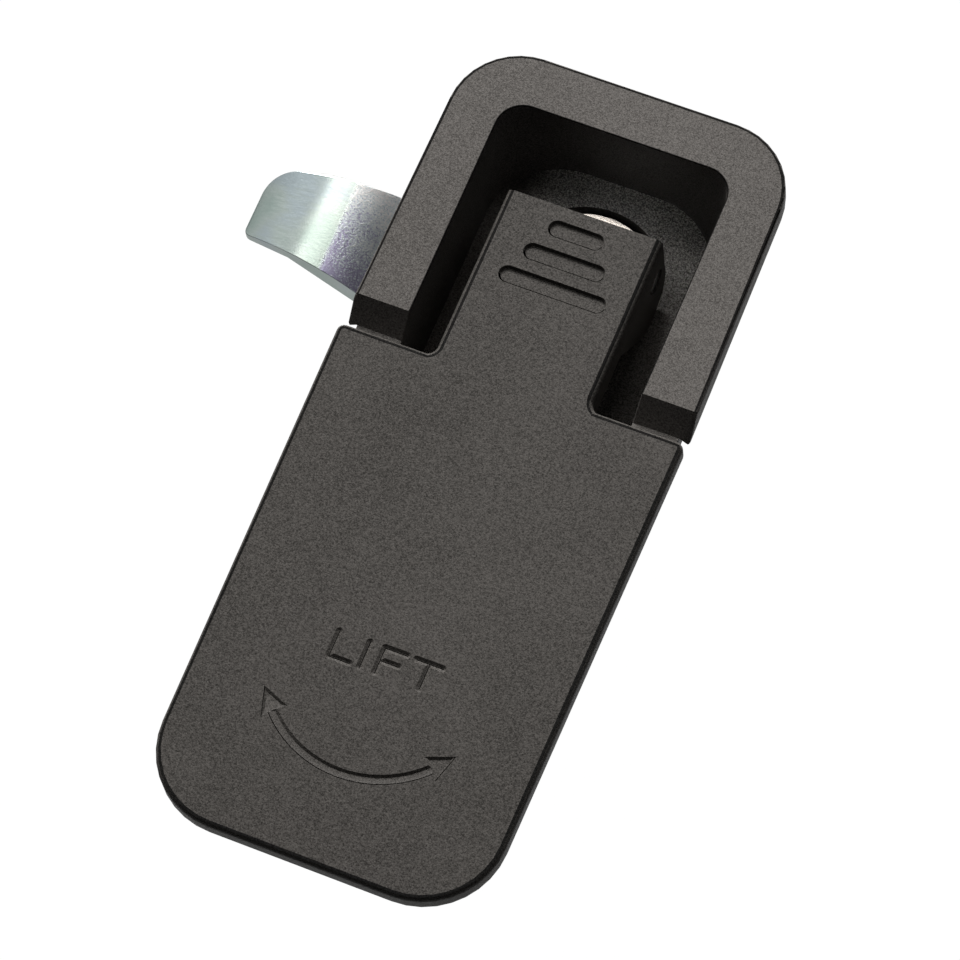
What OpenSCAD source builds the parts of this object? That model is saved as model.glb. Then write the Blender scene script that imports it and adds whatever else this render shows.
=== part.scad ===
// Lift-and-turn compression latch, drawn in millimetres.
// Origin: on the spindle axis, in the plane of the panel face that the gasket lies on.
// X runs across the latch, Y along it towards the open frame, Z out of the panel.

/* [Frame] */
// Width of the open frame at the ends of its arms
frame_w = 46; // [40:0.5:56]
// How much each side of the frame leans in towards its closed end, in degrees
frame_lean = 1.25; // [0:0.05:3]
// Distance from the spindle axis to the closed end of the frame
frame_end = 21.4; // [20:0.1:26]
// Corner radius at the closed end
frame_corner = 9.3; // [6:0.1:11]
// Height of the frame above the base
frame_t = 2.4; // [1.8:0.1:4]
// Radius along the outer edges of the frame
frame_edge = 0.5; // [0.3:0.05:0.9]
// Distance from the spindle axis to the top of each arm end
arm_end = 17; // [15:0.1:19]
// Length of the sloping face at each arm end
arm_bevel = 3.15; // [2:0.05:4]

/* [Base] */
// How far the base lies inside the outline of frame and handle
base_inset = 1.5; // [0.8:0.1:2.5]
// Thickness of the base
base_t = 3; // [2.4:0.1:4]
// Distance from the spindle axis to the end of the base below the handle
base_end = 77; // [72:0.5:80]
// Thickness of the panel gasket
gasket_t = 1.2; // [0.8:0.1:2]
// How far the gasket lies inside the edge of the base
gasket_inset = 0.8; // [0.4:0.1:2]
// Radius of the fixing holes
screw_hole_r = 2.2; // [1.7:0.1:2.8]
// Distance from the middle of a fixing hole to the side of the handle
screw_edge = 8; // [7:0.1:10]
// Distance between the fixing holes along the latch
screw_dy = 32; // [26:0.5:34]
// Distance from the spindle axis to the middle of the fixing holes
screw_mid = 52; // [50:0.5:54]

/* [Dish] */
// Width of each arm of the frame beside the opening
arm_w = 7.5; // [6.6:0.1:8.5]
// Distance from the spindle axis to the closed end of the opening
dish_end = 14.5; // [13.5:0.1:15]
// Distance from the spindle axis to the end that is under the handle
dish_back = 26; // [24:0.5:28]
// Depth of the dish below the top of the frame
dish_depth = 13.3; // [12.8:0.1:14.5]
// Corner radius at the rim of the dish
dish_corner = 3; // [2:0.1:4]
// Corner radius at the floor of the dish
dish_floor_corner = 10; // [6:0.1:12]
// How far the walls lean in from rim to floor
dish_draft = 0.4; // [0.1:0.05:0.6]
// Wall thickness of the dish
dish_wall = 2.2; // [1.6:0.1:2.6]
// Radius of the boss under the dish
boss_r = 13; // [12.4:0.1:14]
// Length of the boss below the floor of the dish
boss_l = 9.2; // [8.6:0.1:9.8]

/* [Handle] */
// How much each side of the handle leans in towards its free end, in degrees
handle_lean = 0.7; // [0:0.05:1.5]
// Distance from the spindle axis to the shoulders
handle_shoulder = 21.5; // [21:0.1:24]
// Distance from the spindle axis to the free end
handle_end = 87.5; // [84:0.5:95]
// Corner radius at the free end
handle_corner = 10.5; // [7:0.1:13]
// Corner radius at the shoulders
shoulder_corner = 1; // [0.8:0.1:2]
// Thickness of the handle plate
handle_t = 2.7; // [2.2:0.1:3.2]
// Radius along the upper edges of the plate
handle_edge = 0.7; // [0.4:0.05:1]
// Gap between the handle plate and the base
handle_gap = 0.2; // [0.15:0.05:0.5]
// Width of the stem
stem_w = 20.8; // [19.6:0.1:21.4]
// Distance from the spindle axis to the end of the stem
stem_end = 2.75; // [2.6:0.05:3.2]
// Depth of the stem next to the shoulders
stem_depth = 4.4; // [3.8:0.1:4.6]
// Radius of the inside corners between stem and shoulders
stem_fillet = 1.4; // [0.8:0.1:2]
// Depth of the three grip slots
slot_depth = 0.4; // [0.3:0.05:0.9]
// Width of the grip slots
slot_w = 2.35; // [1.8:0.05:2.6]
// How much narrower the floor of a grip slot is, on each side
slot_draft = 0.25; // [0.1:0.05:0.4]
// Distance from the spindle axis to the first grip slot
slot_start = 0.3; // [0:0.05:0.6]
// Distance from one grip slot to the next
slot_pitch = 3.93; // [3.5:0.01:4.2]
// Length of the shortest grip slot
slot_l = 7.4; // [5:0.1:8]
// How much longer each next grip slot is
slot_step = 3.45; // [2:0.05:4]

/* [Spindle and bearing] */
// Radius of the spindle shank
shank_r = 5.5; // [5.2:0.05:5.8]
// Thickness of the flattened upper end of the spindle
tang_t = 8; // [7:0.1:8.6]
// Radius round the eye of the spindle
eye_r = 3.8; // [3.4:0.05:3.9]
// Radius of the cross pin
pin_r = 1.75; // [1.5:0.05:1.9]
// Height of the cross pin above the thrust washer
pin_h = 7.35; // [7.3:0.01:7.5]
// Radius of the rounded heel of the handle
heel_r = 5; // [4.9:0.01:5.05]
// How far the middle of the heel lies from the cross pin
heel_e = 3; // [2.9:0.01:3.05]
// Radius of the thrust washer
thrust_r = 9.3; // [9:0.05:9.8]
// Thickness of the thrust washer
thrust_t = 2; // [1.6:0.1:2.2]
// Radius of the pocket round the thrust washer
pocket_r = 10.3; // [10.2:0.05:11]
// Thickness of the bush flange
bush_flange = 1.2; // [0.8:0.1:1.4]
// Wall thickness of the bush sleeve
bush_wall = 1.15; // [1:0.05:1.3]
// Length of the bush sleeve
bush_l = 4; // [3:0.1:4.4]
// Thickness of the web that carries the bush
web_t = 1.7; // [1.4:0.1:2]
// Radial clearance of the spindle in the bush
bush_fit = 0.05; // [0.02:0.01:0.1]
// Clearance of the flats in the thrust washer, on each side
flat_fit = 0.06; // [0.03:0.01:0.1]
// Radial clearance of the cross pin in the spindle eye
pin_fit = 0.05; // [0.02:0.01:0.1]
// Radial clearance of the cross pin in the handle
pin_seat_fit = 0.01; // [0.005:0.005:0.02]
// Radial clearance of the bush in the web
bush_seat_fit = 0.02; // [0.01:0.01:0.04]
// Clearance between the spindle and the slot in the handle, on each side
cheek_fit = 0.25; // [0.15:0.05:0.4]

/* [Spring] */
// Radius of the spring wire
wire_r = 0.65; // [0.5:0.05:0.7]
// Middle radius of the coil
coil_r = 8; // [7.7:0.05:8.1]
// Number of turns
coil_turns = 3; // [2:0.5:3.5]
// Thickness of the spring seat
seat_t = 1.2; // [0.8:0.1:1.4]
// Radius of the spring seat
seat_r = 10.4; // [9.6:0.1:11]

/* [Pawl] */
// Depth of the pawl face below the top of the frame
pawl_depth = 25; // [24.4:0.1:27]
// Thickness of the pawl
pawl_t = 3.5; // [3:0.1:4]
// Distance from the spindle axis to the tip
pawl_reach = 46.2; // [43:0.1:60]
// Radius of the pawl round the spindle
pawl_head_r = 11.4; // [11:0.1:14]
// Width of the pawl at its tip
pawl_tip_w = 10.7; // [8:0.1:14]
// Corner radius at the tip on the frame side
pawl_tip_far = 4.4; // [3:0.1:5]
// Corner radius at the tip on the handle side
pawl_tip_near = 1; // [0.8:0.1:4]
// Height of the nose over the flat of the pawl
pawl_rise = 2.65; // [1.8:0.05:3.5]
// Distance from the tip to the highest line of the nose
pawl_crest = 7.6; // [6.5:0.1:9]
// Radius of the arched top of the nose
pawl_nose_r = 21; // [18:0.5:26]
// Distance from the tip to where the underside starts to rise
pawl_foot = 17.8; // [16.5:0.1:19]
// Slope of the underside where it rises
pawl_ramp = 21; // [18:0.5:22]
// Thickness left at the tip
pawl_tip_t = 1.2; // [0.8:0.1:1.6]
// Length of the level underside at the tip
pawl_level = 6.7; // [5.5:0.1:8]
// Width of the square that drives the pawl
square_w = 7.5; // [7:0.1:7.6]
// Clearance of the square in the pawl, on each side
square_fit = 0.05; // [0.02:0.01:0.1]
// Radius of the thread at the end of the spindle
thread_r = 3; // [2.5:0.25:3.5]
// Thickness of the plain washer
washer_t = 1.6; // [1.2:0.1:2]
// How far the plain washer stands out round the thread
washer_rim = 4; // [3:0.1:5]
// How far the split washer stands out round the thread
lock_rim = 2.8; // [2:0.1:3.2]
// Width of the split in the split washer
lock_split = 0.7; // [0.4:0.1:1]
// Distance from the thread to the flats of the nut
nut_rim = 2; // [1.8:0.1:2.5]
// Thickness of the split washer
lock_t = 1.6; // [1.2:0.1:2]
// Height of the nut
nut_h = 5; // [4:0.1:6.5]
// Length of thread that stands out of the nut
thread_out = 1.4; // [0.8:0.1:4]

/* [Hidden] */
$fn = 96;
handle_w = frame_w;
dish_w = frame_w - 2 * arm_w;
screw_dx = frame_w - 2 * screw_edge;
base_top = gasket_t + base_t;
frame_top = base_top + frame_t;
floor_z = frame_top - dish_depth;
dish_under = floor_z - dish_wall;
thrust_top = floor_z;
bush_top = thrust_top - thrust_t;
web_top = bush_top - bush_flange;
web_under = web_top - web_t;
boss_under = floor_z - boss_l;
pin_z = thrust_top + pin_h;
plate_under = base_top + handle_gap;
plate_top = plate_under + handle_t;
pawl_top = frame_top - pawl_depth;
pawl_under = pawl_top - pawl_t;
crest_z = pawl_top + pawl_rise;
nose_mid = [pawl_crest - pawl_reach, crest_z - pawl_nose_r];
level_z = pawl_under + (pawl_foot - pawl_level) * tan(pawl_ramp);
tip_z = nose_mid[1] + sqrt(pawl_nose_r * pawl_nose_r - pawl_crest * pawl_crest);
seat_top = pawl_top + seat_t;
washer_under = pawl_under - washer_t;
lock_under = washer_under - lock_t;
nut_under = lock_under - nut_h;
thread_under = nut_under - thread_out;
bush_bore_r = shank_r + bush_fit;
bush_r = bush_bore_r + bush_wall;
shoulder_z = thrust_top + 0.4;
flat_under = bush_top - 0.3;
ring_r = 0.55;
ring_mid = shank_r - ring_r;
ring_z = web_top - web_t / 2;
cheek_x = tang_t / 2 + cheek_fit;
slot_r = eye_r + 0.3;
cut = 0.5;

// Plan shapes: each corner is [x, y, radius], listed against the clock

function edge_normal(a, b) = let(d = [b[0] - a[0], b[1] - a[1]], u = d / norm(d),
    s = (a[2] - b[2]) / norm(d))
    [u[1], -u[0]] * sqrt(1 - s * s) + u * s;
function edge_angle(a, b) = let(n = edge_normal(a, b)) atan2(n[1], n[0]);
function turn_to(a, b) = b < a - 0.001 ? b + 360 : b;
function corner_arc(p, a, b, steps) = [for (k = [0 : steps]) let(t = a + (b - a) * k / steps)
    [p[0] + p[2] * cos(t), p[1] + p[2] * sin(t)]];
function outline(c, steps) = [for (i = [0 : len(c) - 1])
    let(p = c[i], q = c[(i + 1) % len(c)], o = c[(i + len(c) - 1) % len(c)], a = edge_angle(o, p))
    each corner_arc(p, a, turn_to(a, edge_angle(p, q)), p[2] < 2 ? 4 : steps)];
function inset(c, d) = [for (p = c) [p[0], p[1], p[2] - d]];
function mirrored(c) = [for (i = [len(c) - 1 : -1 : 0]) [-c[i][0], c[i][1], c[i][2]]];
function both(c) = concat(c, mirrored(c));

// Half width of the frame and of the handle at a height along the latch
function frame_x(y) = frame_w / 2 - (y + arm_end) * tan(frame_lean);
function handle_x(y) = handle_w / 2 + (y + handle_shoulder) * tan(handle_lean);

function frame_corners() = both([[frame_w / 2 - 1, -arm_end - 10, 1],
    [frame_x(frame_end - frame_corner) - frame_corner, frame_end - frame_corner, frame_corner]]);
function handle_corners() = both([[handle_x(handle_corner - handle_end) - handle_corner,
    handle_corner - handle_end, handle_corner],
    [handle_w / 2 - shoulder_corner, -handle_shoulder - shoulder_corner, shoulder_corner]]);
function base_corners() = inset(both([[handle_x(10 - base_end) - 10, 10 - base_end, 10],
    [frame_w / 2 - 4, -arm_end - 3, 4],
    [frame_x(frame_end - frame_corner) - frame_corner, frame_end - frame_corner, frame_corner]]),
    base_inset);
function dish_corners(r, d) = both([[dish_w / 2 - d - r, r + d - dish_back, r],
    [dish_w / 2 - d - r, dish_end - d - r, r]]);
function pawl_corners() = [[0, 0, pawl_head_r],
    [pawl_tip_far - pawl_reach, pawl_tip_w / 2 - pawl_tip_far, pawl_tip_far],
    [pawl_tip_near - pawl_reach, pawl_tip_near - pawl_tip_w / 2, pawl_tip_near]];

// A thin slice of a plan shape at one height
module slice(c, z) {
    translate([0, 0, z])
        linear_extrude(height = 0.02)
            polygon(outline(c, 9));
}

// A plate with rounded upper edges
module soft_plate(c, low, high, r) {
    hull() {
        slice(inset(c, 0.2), low);
        slice(c, low + 0.2);
        slice(c, high - r);
        slice(inset(c, r * (1 - cos(30))), high - r + r * sin(30));
        slice(inset(c, r * (1 - cos(60))), high - r + r * sin(60));
        slice(inset(c, r), high - 0.02);
    }
}

// A profile drawn with Y across and Z up, extruded along X
module along_x(w) {
    rotate([90, 0, 90])
        linear_extrude(height = w, center = true)
            children();
}

// A profile drawn with X across and Z up, extruded along Y
module along_y(from, to) {
    translate([0, to, 0])
        rotate([90, 0, 0])
            linear_extrude(height = to - from)
                children();
}

module frame_rim() {
    difference() {
        soft_plate(frame_corners(), base_top, frame_top, frame_edge);
        along_x(frame_w + 20)
            polygon([[-arm_end, frame_top + 5], [-arm_end - 40, frame_top + 5],
                [-arm_end - 40, base_top - 1],
                [-arm_end - arm_bevel, base_top - 1], [-arm_end - arm_bevel, base_top],
                [-arm_end, frame_top]]);
    }
}

module dish_shell() {
    hull() {
        slice(dish_corners(dish_corner + dish_wall, -dish_wall), base_top - 0.4);
        slice(dish_corners(dish_floor_corner + dish_wall, dish_draft - dish_wall), dish_under);
    }
}

module dish_room() {
    hull() {
        slice(dish_corners(dish_corner, 0), frame_top + 1);
        slice(dish_corners(dish_floor_corner, dish_draft), floor_z);
    }
}

module fixing_holes(r, low, high) {
    for (x = [-screw_dx / 2, screw_dx / 2])
        for (y = [-screw_mid - screw_dy / 2, -screw_mid + screw_dy / 2])
            translate([x, y, low])
                cylinder(r = r, h = high - low);
}

module countersinks() {
    for (x = [-screw_dx / 2, screw_dx / 2])
        for (y = [-screw_mid - screw_dy / 2, -screw_mid + screw_dy / 2])
            translate([x, y, base_top - 1.8])
                cylinder(r1 = screw_hole_r, r2 = screw_hole_r + 2.2, h = 2.2);
}

// Die-cast body: open frame, base below the handle, dish and boss
module housing() {
    color([0.16, 0.16, 0.17])
        difference() {
            union() {
                frame_rim();
                translate([0, 0, gasket_t])
                    linear_extrude(height = base_t)
                        polygon(outline(base_corners(), 9));
                dish_shell();
                translate([0, 0, boss_under])
                    cylinder(r = boss_r, h = boss_l - 1);
            }
            dish_room();
            translate([0, 0, web_top])
                cylinder(r = pocket_r, h = floor_z - web_top + cut);
            translate([0, 0, boss_under - cut])
                cylinder(r = bush_r + bush_seat_fit, h = boss_l);
            translate([0, 0, boss_under - cut])
                cylinder(r = coil_r + wire_r + 0.6, h = web_under - boss_under + cut);
            fixing_holes(screw_hole_r, 0, base_top + cut);
            countersinks();
        }
}

// Flat seal between base and panel
module gasket() {
    color([0.1, 0.1, 0.1])
        difference() {
            linear_extrude(height = gasket_t)
                polygon(outline(inset(base_corners(), gasket_inset), 9));
            translate([0, 0, -cut])
                linear_extrude(height = gasket_t + 2 * cut)
                    polygon(outline(dish_corners(dish_corner + dish_wall, -dish_wall - 0.3), 9));
            fixing_holes(screw_hole_r + 0.4, -cut, gasket_t + cut);
        }
}

// Flanged plastic bush that carries the spindle
module bush() {
    color([0.75, 0.74, 0.68])
        difference() {
            union() {
                translate([0, 0, web_top])
                    cylinder(r = pocket_r - 0.3, h = bush_flange);
                translate([0, 0, web_top - bush_l])
                    cylinder(r = bush_r, h = bush_l + 0.2);
            }
            translate([0, 0, web_top - bush_l - cut])
                cylinder(r = bush_bore_r, h = bush_l + bush_flange + 2 * cut);
        }
}

module flatted_round(r, t) {
    intersection() {
        circle(r = r);
        square([t, 4 * r], center = true);
    }
}

// Plated washer that the heel of the handle runs on
module thrust_washer() {
    color([0.8, 0.81, 0.83])
        translate([0, 0, bush_top])
            linear_extrude(height = thrust_t)
                difference() {
                    circle(r = thrust_r);
                    flatted_round(bush_bore_r, tang_t + 2 * flat_fit);
                }
}

module eye_profile() {
    translate([0, pin_z])
        circle(r = eye_r);
    translate([-eye_r, shoulder_z - cut])
        square([2 * eye_r, pin_z - shoulder_z + cut]);
}

// Spindle: flattened eye end, round shank, square and thread
module spindle() {
    color([0.62, 0.63, 0.65])
        difference() {
            union() {
                along_x(tang_t)
                    eye_profile();
                translate([0, 0, flat_under])
                    linear_extrude(height = shoulder_z - flat_under)
                        flatted_round(shank_r, tang_t);
                translate([0, 0, pawl_top])
                    cylinder(r = shank_r, h = flat_under - pawl_top);
                translate([-square_w / 2, -square_w / 2, pawl_under + 0.2])
                    cube([square_w, square_w, pawl_t]);
                translate([0, 0, thread_under + 0.6])
                    cylinder(r = thread_r, h = pawl_under - thread_under);
                translate([0, 0, thread_under])
                    cylinder(r1 = thread_r - 0.6, r2 = thread_r, h = 0.6);
            }
            translate([0, 0, pin_z])
                rotate([0, 90, 0])
                    cylinder(r = pin_r + pin_fit, h = tang_t + 2 * cut, center = true);
            translate([0, 0, ring_z - ring_r - 0.1])
                difference() {
                    cylinder(r = shank_r + cut, h = 2 * ring_r + 0.2);
                    translate([0, 0, -cut])
                        cylinder(r = ring_mid - ring_r, h = 2 * ring_r + 0.2 + 2 * cut);
                }
        }
}

// Rubber ring in the groove of the spindle
module seal_ring() {
    color([0.08, 0.08, 0.08])
        translate([0, 0, ring_z])
            rotate_extrude()
                translate([ring_mid, 0])
                    circle(r = ring_r - 0.01, $fn = 32);
}

// Coil spring that pushes the pawl away from the panel
coil_top = web_under - 0.05 - wire_r;
coil_low = seat_top + 0.05 + wire_r;
coil_steps = round(coil_turns * 28);
function coil_ring(i) = let(t = 360 * coil_turns * i / coil_steps,
    z = coil_top + (coil_low - coil_top) * i / coil_steps)
    [for (k = [0 : 9]) let(a = 36 * k, r = coil_r + wire_r * cos(a))
        [r * cos(t), r * sin(t), z + wire_r * sin(a)]];
coil_points = [for (i = [0 : coil_steps]) each coil_ring(i)];
coil_sides = [for (i = [0 : coil_steps - 1]) for (k = [0 : 9])
    [10 * i + k, 10 * i + (k + 1) % 10, 10 * i + 10 + (k + 1) % 10, 10 * i + 10 + k]];
coil_ends = [[for (k = [9 : -1 : 0]) k], [for (k = [0 : 9]) 10 * coil_steps + k]];
module return_spring() {
    color([0.55, 0.56, 0.58])
        polyhedron(points = coil_points, faces = concat(coil_sides, coil_ends), convexity = 8);
}

module ring(r_in, r_out, low, h) {
    translate([0, 0, low])
        difference() {
            cylinder(r = r_out, h = h);
            translate([0, 0, -cut])
                cylinder(r = r_in, h = h + 2 * cut);
        }
}

// Washer between spring and pawl
module spring_seat() {
    color([0.6, 0.61, 0.62])
        ring(shank_r + 0.08, seat_r, pawl_top, seat_t);
}

// Side view of the pawl: flat arm, rising underside and arched nose
module pawl_profile() {
    intersection() {
        union() {
            translate([nose_mid[0] + pawl_rise * 2, pawl_under - 1])
                square([pawl_head_r + 1 - nose_mid[0] - pawl_rise * 2, pawl_t + 1]);
            translate(nose_mid)
                circle(r = pawl_nose_r, $fn = 360);
        }
        polygon([[pawl_head_r + 2, pawl_under], [pawl_head_r + 2, crest_z + 1],
            [-pawl_reach - 1, crest_z + 1], [-pawl_reach - 1, tip_z - pawl_tip_t],
            [-pawl_reach, tip_z - pawl_tip_t], [pawl_level - pawl_reach, level_z],
            [pawl_foot - pawl_reach, pawl_under]]);
    }
}

// Plated steel arm that grips behind the door frame
module pawl() {
    color([0.7, 0.71, 0.7])
        difference() {
            intersection() {
                translate([0, 0, pawl_under - 1])
                    linear_extrude(height = pawl_t + pawl_rise + 2)
                        polygon(outline(pawl_corners(), 16));
                along_y(-pawl_head_r - 1, pawl_head_r + 1)
                    pawl_profile();
            }
            translate([-square_w / 2 - square_fit, -square_w / 2 - square_fit, pawl_under - cut])
                cube([square_w + 2 * square_fit, square_w + 2 * square_fit, pawl_t + 2 * cut]);
        }
}

// Plain washer under the pawl
module plain_washer() {
    color([0.75, 0.76, 0.77])
        ring(thread_r + 0.2, thread_r + washer_rim, washer_under, washer_t);
}

// Split washer under the plain washer
module lock_washer() {
    color([0.66, 0.67, 0.68])
        difference() {
            ring(thread_r + 0.15, thread_r + lock_rim, lock_under, lock_t);
            rotate([0, 0, 40])
                translate([thread_r + lock_rim / 2, 0, lock_under + lock_t / 2])
                    rotate([25, 0, 0])
                        cube([2 * lock_rim, lock_split, 3 * lock_t], center = true);
        }
}

// Hexagon nut that holds the pawl
module pawl_nut() {
    color([0.72, 0.73, 0.74])
        difference() {
            intersection() {
                translate([0, 0, nut_under])
                    cylinder(r = (thread_r + nut_rim) / cos(30), h = nut_h, $fn = 6);
                translate([0, 0, nut_under])
                    cylinder(r1 = thread_r + nut_rim, r2 = thread_r + nut_rim + 2 * nut_h, h = nut_h);
                translate([0, 0, nut_under - nut_h])
                    cylinder(r1 = thread_r + nut_rim + 4 * nut_h, r2 = thread_r + nut_rim, h = 2 * nut_h);
            }
            translate([0, 0, nut_under - cut])
                cylinder(r = thread_r + 0.02, h = nut_h + 2 * cut);
        }
}

// Side view of the stem: heel, underside and top
heel_y = -heel_e * sin(45);
heel_z = pin_z - heel_e * cos(45);
stem_low = plate_top - stem_depth;
module stem_side() {
    translate([heel_y, heel_z])
        circle(r = heel_r);
    polygon([[stem_end, plate_top], [-handle_shoulder - 4, plate_top],
        [-handle_shoulder - 4, plate_under + 0.3],
        [-handle_shoulder - 0.5, stem_low], [-11.8, stem_low],
        [heel_y - heel_r * cos(40), heel_z - heel_r * sin(40)],
        [heel_y + heel_r * sin(20), heel_z - heel_r * 0.7], [stem_end, heel_z]]);
}

module stem_front() {
    square_top = plate_top - 1;
    translate([-stem_w / 2, thrust_top - 2])
        square([stem_w, square_top - thrust_top + 2]);
    translate([-stem_w / 2 + 1, square_top - cut])
        square([stem_w - 2, 1 + cut]);
    for (x = [-stem_w / 2 + 1, stem_w / 2 - 1])
        translate([x, square_top])
            circle(r = 1, $fn = 48);
}

module stem() {
    intersection() {
        along_x(stem_w + 2)
            stem_side();
        along_y(-handle_shoulder - 4, stem_end + 2)
            stem_front();
    }
}

// Round room beside an inside corner, widened at the top by the rounding of the stem
module corner_room() {
    rotate_extrude()
        difference() {
            translate([0, plate_under])
                square([stem_fillet + 1, handle_t + cut]);
            translate([stem_fillet, plate_under - 1])
                square([2, handle_t]);
            translate([stem_fillet + 1, plate_top - 1])
                circle(r = 1, $fn = 48);
        }
}

module inside_corners() {
    side = stem_fillet + 1.5;
    for (s = [-1, 1])
        difference() {
            translate([s * (stem_w / 2 - 1.5 + side / 2) - side / 2, -handle_shoulder - 1.5,
                plate_under + 0.3])
                cube([side, side, handle_t - 0.3]);
            translate([s * (stem_w / 2 + stem_fillet), -handle_shoulder + stem_fillet, 0])
                corner_room();
        }
}

// Pocket with sloping walls and round ends
module grip_slot(y, l) {
    straight = l - slot_w;
    rise = slot_depth + cut;
    over = slot_w / 2 + slot_draft * cut / slot_depth;
    low = slot_w / 2 - slot_draft;
    translate([0, y, plate_top - slot_depth]) {
        along_x(straight)
            polygon([[-low, 0], [low, 0], [over, rise], [-over, rise]]);
        for (x = [-straight / 2, straight / 2])
            translate([x, 0, 0])
                cylinder(r1 = low, r2 = over, h = rise, $fn = 48);
    }
}

// Slot that the eye of the spindle swings in
module eye_room() {
    along_x(2 * cheek_x) {
        translate([0, pin_z])
            circle(r = slot_r);
        translate([-slot_r, thrust_top - 3])
            square([2 * slot_r, pin_z - thrust_top + 3]);
        translate([0, thrust_top - 3])
            square([stem_end + 4, pin_z - thrust_top + 3 + slot_r]);
    }
}

// Hollows in the underside of stem and plate
module under_hollows() {
    translate([-stem_w / 2 + 2.2, -handle_shoulder - 2, thrust_top])
        cube([stem_w - 4.4, handle_shoulder - 8, plate_top - thrust_top - 2.2]);
    translate([0, 0, plate_under - cut])
        linear_extrude(height = cut + 0.9)
            polygon(outline(both([[handle_w / 2 - 8, -handle_end + 9, 4],
                [handle_w / 2 - 7.2, -handle_shoulder - 8, 4]]), 9));
}

// Die-cast handle: plate, stem and the two cheeks round the spindle
module handle() {
    color([0.2, 0.2, 0.21])
        difference() {
            union() {
                soft_plate(handle_corners(), plate_under, plate_top, handle_edge);
                stem();
                inside_corners();
            }
            eye_room();
            under_hollows();
            translate([0, 0, pin_z])
                rotate([0, 90, 0])
                    cylinder(r = pin_r + pin_seat_fit, h = stem_w + 4, center = true);
            for (k = [0 : 2])
                grip_slot(-k * slot_pitch - slot_start, slot_l + k * slot_step);
        }
}

// Steel pin through the cheeks and the eye
module cross_pin() {
    color([0.6, 0.6, 0.62])
        translate([0, 0, pin_z])
            rotate([0, 90, 0])
                cylinder(r = pin_r, h = stem_w - 0.6, center = true);
}

housing();
gasket();
bush();
thrust_washer();
spindle();
seal_ring();
return_spring();
spring_seat();
pawl();
plain_washer();
lock_washer();
pawl_nut();
handle();
cross_pin();
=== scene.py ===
# %% [markdown]
# This lesson dresses a recessed compression latch. The solids come packed from the CAD step and are
# the fixed frame: every piece made here lies in the same metres and rides on one of its bodies.

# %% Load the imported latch
import math

import bmesh
import bpy
import numpy as np
from mathutils import Matrix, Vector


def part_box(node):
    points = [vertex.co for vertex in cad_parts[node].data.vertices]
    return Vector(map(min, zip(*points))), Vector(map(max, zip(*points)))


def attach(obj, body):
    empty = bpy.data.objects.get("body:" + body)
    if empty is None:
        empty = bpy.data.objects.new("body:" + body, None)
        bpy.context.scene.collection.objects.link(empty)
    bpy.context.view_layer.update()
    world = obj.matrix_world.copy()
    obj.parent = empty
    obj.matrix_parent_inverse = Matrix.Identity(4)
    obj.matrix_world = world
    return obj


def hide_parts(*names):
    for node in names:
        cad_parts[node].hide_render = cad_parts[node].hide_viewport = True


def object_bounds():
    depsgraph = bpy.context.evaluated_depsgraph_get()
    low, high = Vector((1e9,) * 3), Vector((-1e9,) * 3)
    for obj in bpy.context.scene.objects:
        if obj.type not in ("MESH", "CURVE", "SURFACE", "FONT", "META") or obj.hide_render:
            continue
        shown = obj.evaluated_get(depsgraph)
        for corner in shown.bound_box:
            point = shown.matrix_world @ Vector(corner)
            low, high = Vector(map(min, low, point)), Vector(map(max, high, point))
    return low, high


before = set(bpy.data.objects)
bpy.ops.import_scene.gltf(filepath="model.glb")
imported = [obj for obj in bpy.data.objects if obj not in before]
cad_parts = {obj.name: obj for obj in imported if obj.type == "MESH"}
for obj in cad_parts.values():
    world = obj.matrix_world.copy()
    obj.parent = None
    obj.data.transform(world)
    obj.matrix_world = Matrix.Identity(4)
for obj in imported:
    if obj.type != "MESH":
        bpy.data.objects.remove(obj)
cad_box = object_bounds()
MM = 0.001

# %% [markdown]
# The sizes below repeat the drawing's own values, in millimetres, where a mark, a thread or a finish has to
# meet a solid: the tops of frame and handle, the three grip slots, the depth of the dish, the thread and the
# outer rim of the frame. Only edge_w, the width of the softened edges, is the lesson's own.

# %% Sizes shared with the drawing
plate_top, frame_top, dish_depth = 7.1, 6.6, 13.3
slot_w, slot_first_y, slot_step_y, slot_first_length, slot_growth = 2.35, -0.3, 3.93, 7.4, 3.45
slots = [(slot_first_y - slot_step_y * k, slot_first_length + slot_growth * k) for k in range(3)]
dish_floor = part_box("housing")[1][2] / MM - dish_depth
thread_r, thread_under, pawl_under = 3.0, -31.5, -21.9
lip_edge, lip_chamfer = 4.4, 0.2
edge_w = 0.15
handle_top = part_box("handle")[1][2] / MM
print("handle top at", round(handle_top, 3), "mm, dish floor at", round(dish_floor, 3), "mm")

# %% [markdown]
# Shader maths reads best as plain arithmetic. Value wraps one output socket, and its operators add
# Math nodes. Finish owns a material and has one method, node, for every other kind of node.


# %% A small language for materials
class Value:
    """One output socket; + - * on it add Math nodes to its material."""

    def __init__(self, finish, socket):
        self.finish, self.socket = finish, socket

    def math(self, operation, first, second=0.0):
        return self.finish.node("ShaderNodeMath", {"operation": operation}, {0: first, 1: second})

    def __add__(self, other):
        return self.math("ADD", self, other)

    def __radd__(self, other):
        return self.math("ADD", other, self)

    def __sub__(self, other):
        return self.math("SUBTRACT", self, other)

    def __mul__(self, other):
        return self.math("MULTIPLY", self, other)

    def between(self, low, high):
        return self.math("MINIMUM", self.math("MAXIMUM", self, low), high)


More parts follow.
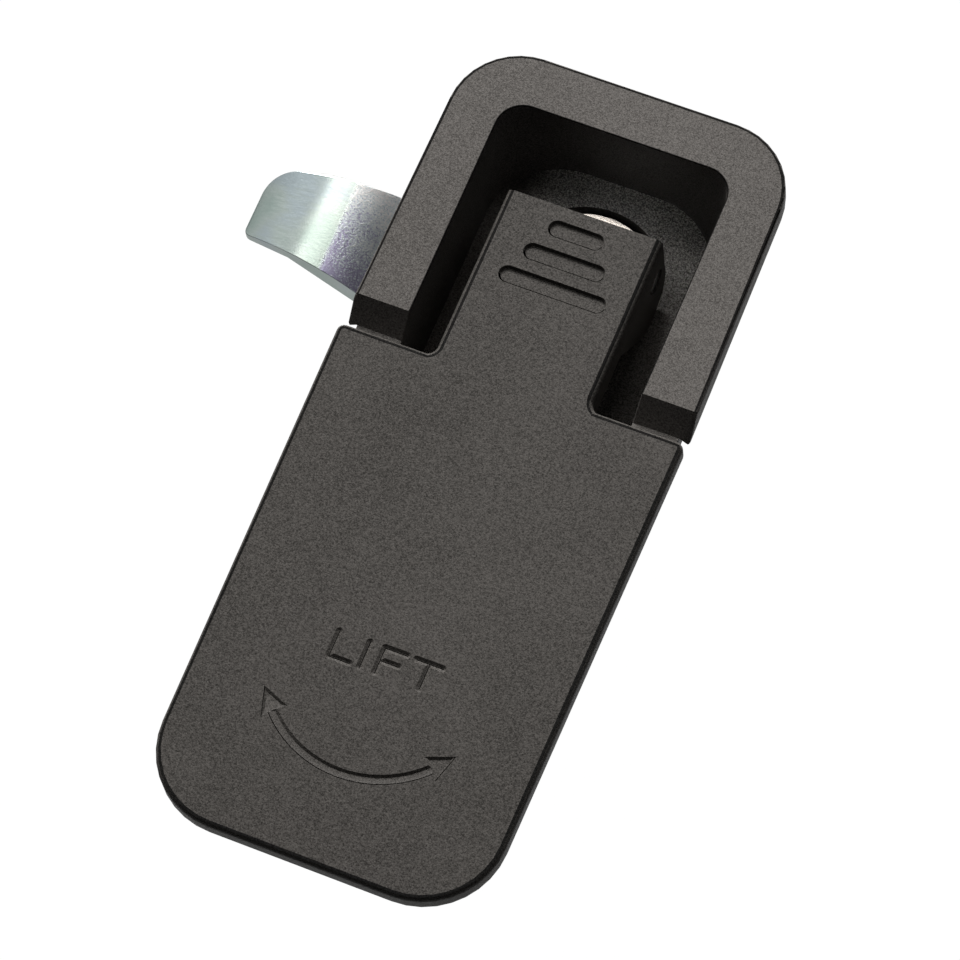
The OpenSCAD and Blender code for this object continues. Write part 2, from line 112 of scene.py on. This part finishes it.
class Finish:
    """A node material. node(kind, settings, sockets, out) adds one node and returns its output."""

    def __init__(self, name):
        self.material = bpy.data.materials.new(name)
        self.material.use_nodes = True
        self.tree = self.material.node_tree
        self.tree.nodes.clear()

    def put(self, socket, value):
        if isinstance(value, Value):
            self.tree.links.new(value.socket, socket)
        else:
            socket.default_value = value

    def node(self, kind, settings=None, sockets=None, out=0):
        made = self.tree.nodes.new(kind)
        for key, value in (settings or {}).items():
            if key == "stops":
                ramp = made.color_ramp.elements
                while len(ramp) < len(value):
                    ramp.new(0.5)
                for stop, (place, colour) in zip(ramp, value):
                    stop.position, stop.color = place, (*colour, 1.0)
            else:
                setattr(made, key, value)
        for key, value in (sockets or {}).items():
            self.put(made.inputs[key], value)
        return Value(self, made.outputs[out])

    def place(self):
        return self.node("ShaderNodeTexCoord", out="Object")

    def along(self, axis):
        return self.node("ShaderNodeSeparateXYZ", {}, {0: self.place()}, out=axis)

    def noise(self, scale, detail=2.0, rough=0.5, stretch=None):
        where = self.place()
        if stretch:
            where = self.node("ShaderNodeMapping", {}, {"Vector": where, "Scale": stretch})
        sockets = {"Vector": where, "Scale": scale, "Detail": detail, "Roughness": rough}
        return self.node("ShaderNodeTexNoise", {}, sockets)

    def ramp(self, factor, stops):
        return self.node("ShaderNodeValToRGB", {"stops": stops}, {"Fac": factor})

    def mix(self, factor, first, second):
        return self.node("ShaderNodeMix", {"data_type": "RGBA"}, {0: factor, 6: first, 7: second}, out=2)

    def bump(self, height, depth, strength=1.0):
        return self.node("ShaderNodeBump", {}, {"Height": height, "Distance": depth, "Strength": strength})

    def output(self, shader):
        end = self.tree.nodes.new("ShaderNodeOutputMaterial")
        self.tree.links.new(shader.socket, end.inputs["Surface"])
        return self.material

    def surface(self, **sockets):
        named = {key.replace("_", " "): value for key, value in sockets.items()}
        return self.output(self.node("ShaderNodeBsdfPrincipled", {}, named))


print("material helpers ready")

# %% [markdown]
# Both castings are powder coated: a matte black film with a fine orange-peel grain about a third of a
# millimetre across, a few paler specks, and a slow cloudiness where the film is thicker. Noise at three
# scales on Object coordinates gives all of it, and the same grain drives colour, gloss and bump. The dish
# floor has painted light: paler greys towards the far end and the right, while its left keeps the dark coat
# as its shade. The softened edges get painted shade: a near-black coat that mirrors nothing.


# %% Powder coat
def powder_coat(name, dark, pale, gloss, relief, painted_light_greys=None, shine=0.05):
    """Colour runs from dark to pale with the grain; painted_light_greys are three greys of painted light that
    take over along +Y and +X.
    """
    f = Finish(name)
    grain = f.noise(4300.0, 2.0, 0.6)
    speck = f.noise(7400.0, 1.0, 0.5)
    cloud = f.noise(60.0, 3.0, 0.55)
    tone = grain * 0.55 + speck * 0.45
    middle = tuple(0.5 * (a + b) for a, b in zip(dark, pale))
    colour = f.ramp(tone + (cloud - 0.5) * 0.12, [(0.37, dark), (0.50, middle), (0.63, pale)])
    if painted_light_greys:
        # painted light: the dish floor turns to paler greys towards the far end (+Y) and the right (+X), and
        # keeps the dark coat on its left, in shade
        far = (f.along("Y") * 130.0 + 0.28).between(0.12, 1.0)
        right = (f.along("X") * 300.0 + 3.6).between(0.0, 1.0)
        greys = [(p, (g, 0.985 * g, 0.95 * g)) for p, g in zip((0.40, 0.50, 0.60), painted_light_greys)]
        colour = f.mix(far * right, colour, f.ramp(tone, greys))
    rough = gloss + (grain - 0.5) * 0.30 + (cloud - 0.5) * 0.10
    return f.surface(
        Base_Color=colour,
        Roughness=rough,
        Specular_IOR_Level=shine,
        Normal=f.bump(tone, 0.12 * MM, relief),
    )


soot, ash = (0.044, 0.041, 0.038), (0.144, 0.136, 0.129)
ink, coal = (0.025, 0.0235, 0.0215), (0.094, 0.0885, 0.083)
# pitch_black and tar are the painted shade of the softened edges
pitch_black, tar = (0.006, 0.006, 0.006), (0.018, 0.0175, 0.017)
casting_black = powder_coat("housing_powder_coat", soot, ash, 0.48, 0.5)
# the dish floor's coat carries painted light in its pale greys
floor_painted_light = powder_coat("dish_floor_painted_light", soot, ash, 0.48, 0.5, (0.13, 0.40, 0.76))
handle_black = powder_coat("handle_powder_coat", ink, coal, 0.47, 0.5)
# painted shade: a near-black coat that mirrors nothing, for the softened top edges
edge_painted_shade = powder_coat("edge_painted_shade_coat", pitch_black, tar, 0.48, 0.5, shine=0.0)
print("powder coats made")

# %% [markdown]
# The pawl and the washers are zinc plated and passivated. The plating is a metal with a grey-green
# ground, faint blue and violet tints in patches and rolling marks along the strip. On the pawl the arm is
# left frosted, with a sparkle of small crystals, while the nose beyond the frost line is pressed smooth.
# On the frosted arm the colour runs from dark violet on the near side to white on the far side: painted light.


# %% Zinc plate
def zinc_plate(name, level, gloss, tints, frost_x=None):
    """Tint is a slow noise through a three-colour ramp; frost is 1 beyond frost_x and roughens it."""
    f = Finish(name)
    patch = f.noise(130.0, 2.0, 0.55)
    crystal = f.noise(4000.0, 2.0, 0.75)
    rolled = f.noise(420.0, 2.0, 0.5, (1.0, 7.0, 7.0))
    ground = f.ramp(patch + (rolled - 0.5) * 0.2, [
        (p, tuple(level * c for c in tint)) for p, tint in zip((0.36, 0.50, 0.64), tints)])
    rough = gloss + (crystal - 0.5) * 0.10 + (rolled - 0.5) * 0.06
    height = crystal * 0.25 + rolled * 0.2
    if frost_x is not None:
        frost = ((f.along("X") - frost_x) * 1500.0 + patch).between(0.0, 1.0)
        # painted light: on the frosted arm the colour runs from dark violet at -Y to white at +Y
        frost_painted_light = [(0.42, (0.44, 0.42, 0.60)), (0.52, (0.76, 0.85, 0.88)), (0.63, (1.0, 1.0, 1.0))]
        ground = f.mix(frost, ground, f.ramp(patch * 0.4 + crystal * 0.6 + f.along("Y") * 13.0, frost_painted_light))
        rough = rough + frost * 0.10
        height = height + frost * crystal * 2.2
    return f.surface(
        Base_Color=ground,
        Metallic=1.0,
        Roughness=rough,
        Normal=f.bump(height, 0.03 * MM, 0.6),
    )


green_zinc = ((0.50, 0.61, 0.57), (0.57, 0.66, 0.63), (0.53, 0.62, 0.65))
grey_zinc = ((0.74, 0.70, 0.66), (0.80, 0.76, 0.72), (0.78, 0.76, 0.74))
frost_line = -34.6 * MM
zinc_pawl = zinc_plate("pawl_zinc", 0.92, 0.21, green_zinc, frost_line)
# painted shade: the pawl's rim is a zinc at less than half the level of its faces, and rougher
zinc_edge_painted_shade = zinc_plate("pawl_sheared_edge_painted_shade", 0.43, 0.42, green_zinc)
zinc_small = zinc_plate("washer_zinc", 1.0, 0.15, grey_zinc)
zinc_dull = zinc_plate("fastener_zinc", 0.45, 0.40, grey_zinc)
print("zinc finishes made")

# %% [markdown]
# The small hidden pieces get plainer finishes of their own: turned steel with fine rings, drawn spring
# wire, rubber with a dusty bloom and unfilled nylon.


# %% Steel, wire, rubber and nylon
def bare_steel(name, colour, gloss, scale):
    """Machining marks are a noise squeezed along Z, in gloss and bump."""
    f = Finish(name)
    marks = f.noise(scale, 2.0, 0.5, (1.0, 1.0, 14.0))
    smudge = f.noise(180.0, 2.0, 0.5)
    tone = f.ramp(smudge, [(0.3, tuple(0.82 * c for c in colour)), (0.7, colour)])
    return f.surface(
        Base_Color=tone,
        Metallic=1.0,
        Roughness=gloss + (marks - 0.5) * 0.2,
        Normal=f.bump(marks, 0.02 * MM, 0.4),
    )


def soft_plain(name, dark, pale, gloss, grain_scale, depth):
    """Rubber and plastic: one grain for colour, gloss and a shallow bump."""
    f = Finish(name)
    grain = f.noise(grain_scale, 3.0, 0.6)
    bloom = f.noise(90.0, 2.0, 0.5)
    return f.surface(
        Base_Color=f.ramp(grain * 0.5 + bloom * 0.5, [(0.35, dark), (0.65, pale)]),
        Roughness=gloss + (grain - 0.5) * 0.2,
        Normal=f.bump(grain, depth, 0.5),
    )


turned_steel = bare_steel("turned_steel", (0.56, 0.56, 0.57), 0.33, 900.0)
spring_wire = bare_steel("spring_wire", (0.42, 0.42, 0.44), 0.36, 1500.0)
rubber, bloomed = (0.016, 0.016, 0.017), (0.040, 0.039, 0.038)
gasket_rubber = soft_plain("gasket_rubber", rubber, bloomed, 0.72, 2600.0, 0.04 * MM)
nylon = soft_plain("bush_nylon", (0.62, 0.60, 0.53), (0.74, 0.72, 0.65), 0.5, 1400.0, 0.02 * MM)
print("small finishes made")

# %% [markdown]
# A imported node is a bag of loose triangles. To soften its edges it needs a joined mesh, so the first helper
# merges equal points with numpy and dissolves the flat triangulation. The others soften edges, shade by
# angle, give a finish and list the faces of a piece, to give some of them a second finish.


# %% Joined copies of the solids
LATTICE_MM, MERGE_MM, SLIVER_MM = 0.001, 0.012, 0.002
FLAT_DEGREES, CRISP_DEGREES = 0.6, 42.0


def joined_copy(node, name):
    """Points are snapped to a fine lattice; equal lattice points become one vertex."""
    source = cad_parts[node].data
    points = np.empty(len(source.vertices) * 3)
    source.vertices.foreach_get("co", points)
    points = points.reshape(-1, 3)
    source.calc_loop_triangles()
    corners = np.empty(len(source.loop_triangles) * 3, dtype=np.int64)
    source.loop_triangles.foreach_get("vertices", corners)
    lattice = np.round(points / (LATTICE_MM * MM)).astype(np.int64)
    _, first, back = np.unique(lattice, axis=0, return_index=True, return_inverse=True)
    triangles = back.reshape(-1)[corners].reshape(-1, 3)
    whole = (triangles != np.roll(triangles, 1, axis=1)).all(axis=1)
    mesh = bpy.data.meshes.new(name)
    mesh.from_pydata(points[first].tolist(), [], triangles[whole].tolist())
    work = bmesh.new()
    work.from_mesh(mesh)
    flat = math.radians(FLAT_DEGREES)
    bmesh.ops.remove_doubles(work, verts=work.verts, dist=MERGE_MM * MM)
    bmesh.ops.dissolve_degenerate(work, edges=work.edges, dist=SLIVER_MM * MM)
    bmesh.ops.dissolve_limit(work, angle_limit=flat, verts=work.verts, edges=work.edges)
    work.to_mesh(mesh)
    work.free()
    made = bpy.data.objects.new(name, mesh)
    bpy.context.scene.collection.objects.link(made)
    print(name, "joined:", len(points), "->", len(mesh.vertices), "points")
    return made


def settle(piece):
    """Applies every modifier of a piece by taking the evaluated mesh."""
    bpy.context.view_layer.update()
    seen = piece.evaluated_get(bpy.context.evaluated_depsgraph_get())
    mesh = bpy.data.meshes.new_from_object(seen)
    old = piece.data
    piece.modifiers.clear()
    piece.data = mesh
    bpy.data.meshes.remove(old)


def soften(piece, width_mm, clamp=True):
    """A small bevel on every crisp edge; clamp narrows it where faces are tiny."""
    bevel = piece.modifiers.new("soft_edges", "BEVEL")
    bevel.width = width_mm * MM
    bevel.segments = 2
    bevel.limit_method = "ANGLE"
    bevel.angle_limit = math.radians(CRISP_DEGREES)
    bevel.use_clamp_overlap = clamp
    bevel.miter_outer = "MITER_ARC"
    settle(piece)


def shade(piece, angle):
    """Smooth shading, crisp over the angle; normals lean to the larger face, so flats stay flat."""
    piece.data.shade_smooth()
    piece.data.set_sharp_from_angle(angle=math.radians(angle))
    even = piece.modifiers.new("even_flats", "WEIGHTED_NORMAL")
    even.mode = "FACE_AREA"
    even.weight = 100
    even.keep_sharp = True
    settle(piece)


def dress(piece, *materials):
    """Gives a piece its finishes; the first is the one that every face starts with."""
    piece.data.materials.clear()
    for material in materials:
        piece.data.materials.append(material)


def face_table(piece):
    """Middles in millimetres and normals of a piece's faces, as two arrays."""
    middles = np.empty(len(piece.data.polygons) * 3)
    facing = np.empty_like(middles)
    piece.data.polygons.foreach_get("center", middles)
    piece.data.polygons.foreach_get("normal", facing)
    return middles.reshape(-1, 3) / MM, facing.reshape(-1, 3)


def top_edges(middles, facing, top, width):
    """The faces of a softened edge round a flat top: just under it, and neither level nor upright."""
    return (middles[:, 2] > top - width) & (facing[:, 2] > 0.12) & (facing[:, 2] < 0.985)


print("mesh helpers ready")

# %% [markdown]
# The housing's solid has a frame whose outer rim ends at lip_edge. The photograph shows the rim 1 mm deeper
# at the ends of the two arms, so the ring of points at that edge and the chamfer's ring below it are lowered. A
# point of the lower ring is known by lying close to the upper one, seen from above. The faces are cut into
# triangles first, because a moved corner would bend a flat many-sided face.


# %% Housing
def drop_lip(piece, edge, chamfer, reach, drop, near=0.02):
    """Lowers the outer rim by drop; heights count as equal within near."""
    work = bmesh.new()
    work.from_mesh(piece.data)
    bmesh.ops.triangulate(work, faces=work.faces)
    work.to_mesh(piece.data)
    work.free()
    points = np.empty(len(piece.data.vertices) * 3)
    piece.data.vertices.foreach_get("co", points)
    points = points.reshape(-1, 3) / MM
    upper = np.abs(points[:, 2] - edge) < near
    lower = np.abs(points[:, 2] - edge + chamfer) < near
    apart = np.linalg.norm(points[:, None, :2] - points[None, upper, :2], axis=2).min(axis=1)
    rim = upper | (lower & (apart < reach))
    points[rim, 2] -= drop
    piece.data.vertices.foreach_set("co", (points * MM).ravel())
    piece.data.update()
    print(piece.name, "rim lowered at", int(rim.sum()), "points")


housing_skin = joined_copy("housing", "housing_skin")
drop_lip(housing_skin, lip_edge, lip_chamfer, reach=0.45, drop=1.0)
soften(housing_skin, edge_w, clamp=False)
shade(housing_skin, 33)
dress(housing_skin, casting_black, floor_painted_light, edge_painted_shade)
middles, facing = face_table(housing_skin)
# the dish floor's faces take the coat with painted light
floor_faces = (np.abs(middles[:, 2] - dish_floor) < 0.2) & (facing[:, 2] > 0.9)
# painted shade: the softened top edges of the frame take the near-black coat
rounded = top_edges(middles, facing, frame_top, edge_w)
finish_of_face = (floor_faces + 2 * rounded).astype(np.int32)
housing_skin.data.polygons.foreach_set("material_index", finish_of_face)
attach(housing_skin, "housing")
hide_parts("housing")
print("housing skin:", len(finish_of_face), "faces,", int(floor_faces.sum()), "on the dish floor")

# %% [markdown]
# The handle carries a debossed instruction: the word for the first move and a double-headed arc for the
# second. Every mark is a shallow groove with sloping walls, so each is cut by a prism: one outline drawn at
# three heights, widest just above the face and narrowest at the foot of the groove.


# %% Outlines of the marks
def stroke(start, end, half, steps=10):
    """A stadium: half a circle of radius half round each end of the line from start to end."""
    start, end = np.array(start, float), np.array(end, float)
    along = math.atan2(end[1] - start[1], end[0] - start[0])
    fan = np.linspace(-np.pi / 2, np.pi / 2, steps)
    tip = end + half * np.stack([np.cos(along + fan), np.sin(along + fan)], 1)
    tail = start - half * np.stack([np.cos(along + fan), np.sin(along + fan)], 1)
    return np.concatenate([tip, tail])


def ribbon(path, half):
    """A strip of even width along a path of points."""
    along = np.gradient(path, axis=0)
    along /= np.linalg.norm(along, axis=1, keepdims=True)
    side = half * np.stack([-along[:, 1], along[:, 0]], 1)
    return np.concatenate([path + side, (path - side)[::-1]])


def arc(centre, radius, first, last, steps):
    """Points of an arc; angles in degrees."""
    sweep = np.radians(np.linspace(first, last, steps))
    return np.array(centre) + radius * np.stack([np.cos(sweep), np.sin(sweep)], 1)


def head(side, shrink):
    """An arrow head, drawn in towards its middle by the factor shrink."""
    corners = np.array([[12.5 * side, -68.8], [8.95 * side, -70.18], [11.35 * side, -72.57]])
    middle = corners.mean(axis=0)
    return middle + shrink * (corners - middle)


def prism(outlines, heights):
    """Stacks outlines of equal length at the given heights: a grid of level by point."""
    return np.stack([np.concatenate([o, np.full((len(o), 1), z)], 1) for o, z in zip(outlines, heights)])


print("outline helpers ready")

# %% [markdown]
# The letters are plain strokes of one width. A fine slit runs along the foot of each letter's groove, the
# outer edge of the arc and the lower wall of the grip slots, as the tool left it. The arc's groove is steep
# on its inner side and gentle on its outer side. All the prisms are joined into one mesh, whose faces are
# the quads between the levels and one cap at each end.


# %% Cutter for the marks
def grid_faces(rows, columns, offset):
    """Quads of a grid that closes round its columns, and one cap at each end."""
    i, k = np.meshgrid(np.arange(rows - 1), np.arange(columns), indexing="ij")
    k2 = (k + 1) % columns
    row, above = i * columns, (i + 1) * columns
    quads = np.stack([row + k, row + k2, above + k2, above + k], -1)
    first, last = offset + np.arange(columns)[::-1], offset + (rows - 1) * columns + np.arange(columns)
    return (quads.reshape(-1, 4) + offset).tolist() + [list(first), list(last)]


def cutter(name, grids):
    """Joins closed grids into one mesh, faces outwards."""
    points, faces = [], []
    for grid in grids:
        faces += grid_faces(grid.shape[0], grid.shape[1], len(points))
        points += (grid.reshape(-1, 3) * MM).tolist()
    mesh = bpy.data.meshes.new(name)
    mesh.from_pydata(points, [], faces)
    work = bmesh.new()
    work.from_mesh(mesh)
    bmesh.ops.recalc_face_normals(work, faces=work.faces)
    work.to_mesh(mesh)
    work.free()
    made = bpy.data.objects.new(name, mesh)
    bpy.context.scene.collection.objects.link(made)
    return made


def cut_away(piece, tool):
    """Takes the tool out of the piece by an exact boolean and removes the tool."""
    cut = piece.modifiers.new("cut", "BOOLEAN")
    cut.operation, cut.solver, cut.use_self, cut.object = "DIFFERENCE", "EXACT", True, tool
    settle(piece)
    bpy.data.objects.remove(tool)


high, low, waist, letter_half = -59.1, -62.5, -60.8, 0.45
letters = [
    ((-6.82, high), (-6.82, low)), ((-6.82, low), (-4.1, low)), ((-2.80, high), (-2.80, low)),
    ((-0.82, high), (-0.82, low)), ((-0.82, high), (2.08, high)), ((-0.82, waist), (1.60, waist)),
    ((3.28, high), (6.75, high)), ((5.0, high), (5.0, low)),
]
depth, over, slit, wall_degrees = 0.22, 0.05, 0.06, 32.0
bank = 1 / math.tan(math.radians(wall_degrees))
levels = plate_top + np.array([over, 0.0, -depth])
deep = plate_top + np.array([over, 0.0, -2 * depth])
inset = bank * np.array([-over, 0.0, depth])
grids = [prism([stroke(a, b, letter_half - e) for e in inset], levels) for a, b in letters]
grids += [prism([stroke(a, b, slit)] * 3, deep) for a, b in letters]
centre, sweep = (0.0, -61.3), (-136.0, -44.0, 48)
inner, outer, slit_r = 13.78 + inset, np.array([15.14, 15.06, 14.25]), 15.0
arrow = zip((inner + outer) / 2, (outer - inner) / 2)
grids.append(prism([ribbon(arc(centre, r, *sweep), half) for r, half in arrow], levels))
grids.append(prism([ribbon(arc(centre, slit_r, *sweep), slit)] * 3, deep + depth / 2))
head_inradius, slit_share = 1.06, 0.96
for side in (-1, 1):
    grids.append(prism([head(side, 1 - e / head_inradius) for e in inset], levels))
    tip, _, tail = head(side, slit_share)
    grids.append(prism([stroke(tip, tail, slit)] * 3, deep))
slot_levels, slot_slit, wall_gap = plate_top + np.array([0.1, -0.3, -0.9]), 0.13, 0.15
for y, length in slots:
    reach, round_r = (length - slot_w) / 2, slot_w / 2 - wall_gap
    left, right = arc((-reach, y), round_r, 190, 270, 12), arc((reach, y), round_r, 270, 350, 12)
    grids.append(prism([ribbon(np.concatenate([left, right]), slot_slit)] * 3, slot_levels))
marks = cutter("handle_marks", grids)
print("cutter for the marks:", len(marks.data.polygons), "faces")

# %% [markdown]
# The handle itself is the joined copy of the solid, softened at its crisp edges, with the marks cut by
# an exact boolean. Its top edges take the near-black painted shade before the cut, all but those of the grip
# slots, so the walls of the marks keep the handle's own finish.

# %% Handle with its marks
handle_skin = joined_copy("handle", "handle_skin")
soften(handle_skin, edge_w)
dress(handle_skin, handle_black, edge_painted_shade)
middles, facing = face_table(handle_skin)
zone_half, zone_near, zone_far = 7.6, -10.0, 1.2
at_slots = (np.abs(middles[:, 0]) < zone_half) & (middles[:, 1] > zone_near) & (middles[:, 1] < zone_far)
# painted shade: the softened top edges of the handle, but not those at the grip slots, take the near-black coat
rounded = top_edges(middles, facing, plate_top, edge_w) & ~at_slots
handle_skin.data.polygons.foreach_set("material_index", rounded.astype(np.int32))
cut_away(handle_skin, marks)
shade(handle_skin, 31)
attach(handle_skin, "handle")
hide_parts("handle")
print("handle skin:", len(handle_skin.data.polygons), "faces")

# %% [markdown]
# The pawl is a stamping: its solid is right, so a joined copy only gets rolled-over edges. Its sheared
# rim is rougher than its faces, and its zinc is darker there as painted shade, so faces whose normal lies
# flat take a second finish.

# %% Pawl
pawl_skin = joined_copy("pawl", "pawl_skin")
soften(pawl_skin, 0.25)
shade(pawl_skin, 33)
dress(pawl_skin, zinc_pawl, zinc_edge_painted_shade)
_, facing = face_table(pawl_skin)
# faces whose normal lies flat take the rim's finish with painted shade
sheared = (np.abs(facing[:, 2]) < 0.4).astype(np.int32)
pawl_skin.data.polygons.foreach_set("material_index", sheared)
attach(pawl_skin, "spindle")
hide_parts("pawl")
print("pawl skin:", len(pawl_skin.data.polygons), "faces")

# %% [markdown]
# The solid of the spindle ends in a plain bar of the thread's outer diameter. Its groove is cut here by a
# trapezoid swept along a helix, which is again one grid: a row for each step, a column for each corner.

# %% Thread on the spindle
spindle_skin = joined_copy("spindle", "spindle_skin")
pitch = 1.0
runs_out, starts_under = 0.6, 0.8
low_end, high_end = thread_under - runs_out, pawl_under - starts_under
step = np.linspace(0.0, 2 * np.pi * (high_end - low_end) / pitch, 300)[:, None]
section = np.array([[0.12, -0.46], [-0.54, -0.07], [-0.54, 0.07], [0.12, 0.46]])
reach = thread_r + section[:, 0]
lift = low_end + pitch * step / (2 * np.pi) + section[:, 1]
groove = cutter("thread_groove", [np.stack([reach * np.cos(step), reach * np.sin(step), lift], -1)])
cut_away(spindle_skin, groove)
shade(spindle_skin, 33)
dress(spindle_skin, turned_steel)
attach(spindle_skin, "spindle")
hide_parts("spindle")
print("spindle skin:", len(spindle_skin.data.polygons), "faces")

# %% [markdown]
# The other solids keep their meshes and only get their finishes.

# %% Finishes of the small solids
small_finishes = {
    "gasket": gasket_rubber, "seal_ring": gasket_rubber, "bush": nylon, "thrust_washer": zinc_small,
    "cross_pin": turned_steel, "return_spring": spring_wire,
    "spring_seat": zinc_dull, "plain_washer": zinc_dull, "lock_washer": spring_wire, "pawl_nut": zinc_dull,
}
for node, material in small_finishes.items():
    dress(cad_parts[node], material)
print("dressed", len(small_finishes), "solids")

# %% [markdown]
# The floor is plain and pale, just below the lowest point that the pawl's nut reaches when the handle is
# lifted. The camera sees it white: a Light Path mix adds a glow that only camera and mirror rays see.

# %% Floor
floor_gap, floor_half = 4.2 * MM, 3.0
floor_z = cad_box[0][2] - floor_gap
floor_corners = [(floor_half * i, floor_half * k, floor_z) for i, k in ((-1, -1), (1, -1), (1, 1), (-1, 1))]
floor_mesh = bpy.data.meshes.new("floor")
floor_mesh.from_pydata(floor_corners, [], [(0, 1, 2, 3)])
floor = bpy.data.objects.new("floor", floor_mesh)
bpy.context.scene.collection.objects.link(floor)
paper = Finish("floor_paper")
path_camera = paper.node("ShaderNodeLightPath", out="Is Camera Ray")
path_glossy = paper.node("ShaderNodeLightPath", out="Is Glossy Ray")
path_through = paper.node("ShaderNodeLightPath", out="Is Transmission Ray")
seen = (path_camera + path_glossy + path_through).between(0.0, 1.0)
matte = paper.node("ShaderNodeBsdfDiffuse", {}, {"Color": (0.20, 0.20, 0.20, 1.0)})
glow = paper.node("ShaderNodeEmission", {}, {"Color": (1.0, 1.0, 1.0, 1.0), "Strength": 1.045})
blend = paper.node("ShaderNodeMixShader", {}, {0: seen * 0.96, 1: matte, 2: glow})
floor_mesh.materials.append(paper.output(blend))
print("floor at", round(floor_z / MM, 2), "mm")

# %% [markdown]
# Studio light: the strong soft box stands low behind the closed end of the frame and to the left, so walls
# that face the viewer stay dark. The other three are weak and nearer: the top and left ones are what the
# pawl's bend mirrors, and the right one opens the shadows a little. The world is dim.

# %% Light
LIGHT_AIM = (0.0, -0.03, 0.0)


def soft_box(name, place, size, power, colour=(1.0, 1.0, 1.0)):
    """A rectangular lamp that looks at the middle of the latch; metres and watts."""
    lamp = bpy.data.lights.new(name, "AREA")
    lamp.shape = "RECTANGLE"
    lamp.size, lamp.size_y = size
    lamp.energy = power
    lamp.color = colour
    holder = bpy.data.objects.new(name, lamp)
    bpy.context.scene.collection.objects.link(holder)
    look = np.array(place) - np.array(LIGHT_AIM)
    look /= np.linalg.norm(look)
    side = np.cross([0.0, 0.0, 1.0], look)
    side /= np.linalg.norm(side)
    lift = np.cross(look, side)
    m = np.eye(4)
    m[:3, 0], m[:3, 1], m[:3, 2], m[:3, 3] = side, lift, look, place
    holder.matrix_world = Matrix(m.tolist())


soft_box("back_box", (-0.50, 1.02, 0.69), (0.50, 0.40), 38.2, (1.0, 0.985, 0.97))
soft_box("top_box", (-0.09, 0.45, 0.89), (0.34, 0.30), 0.79, (1.0, 0.95, 0.90))
soft_box("left_box", (-0.56, 0.42, 0.72), (0.80, 0.80), 1.0)
soft_box("right_box", (0.52, 0.45, 0.70), (0.45, 0.45), 0.36)
world = bpy.data.worlds.new("studio")
world.use_nodes = True
room = world.node_tree.nodes["Background"]
room.inputs["Color"].default_value = (1.0, 0.98, 0.96, 1.0)
room.inputs["Strength"].default_value = 0.016
bpy.context.scene.world = world
print("lamps set")

# %% [markdown]
# The camera stands where the photograph was taken from: a long lens, high over the handle's near end
# and a little to the right. Its turn is a rotation vector, made a matrix by Rodrigues' formula.

# %% Camera
turn = np.array([-0.374653, -0.143130, -0.375747])
angle = np.linalg.norm(turn)
x, y, z = turn / angle
skew = np.array([[0, -z, y], [z, 0, -x], [-y, x, 0]])
rotation = np.eye(3) + math.sin(angle) * skew + (1 - math.cos(angle)) * skew @ skew
shift = np.array([5.559208, 15.746850, -589.842650])
frame_centre = np.array([0.0, -17.0, frame_top])
station = -rotation.T @ shift + frame_centre
focal_pixels, photo_pixels = 4793.716, 960
lens = bpy.data.cameras.new("camera")
lens.sensor_width = 36.0
lens.lens = focal_pixels / photo_pixels * lens.sensor_width
lens.clip_end = 10.0
camera = bpy.data.objects.new("camera", lens)
pose = np.eye(4)
pose[:3, :3] = rotation.T
pose[:3, 3] = station * MM
camera.matrix_world = Matrix(pose.tolist())
bpy.context.scene.collection.objects.link(camera)
bpy.context.scene.camera = camera
bpy.context.scene.view_settings.view_transform = "Standard"
print("camera at", np.round(station, 1), "mm")
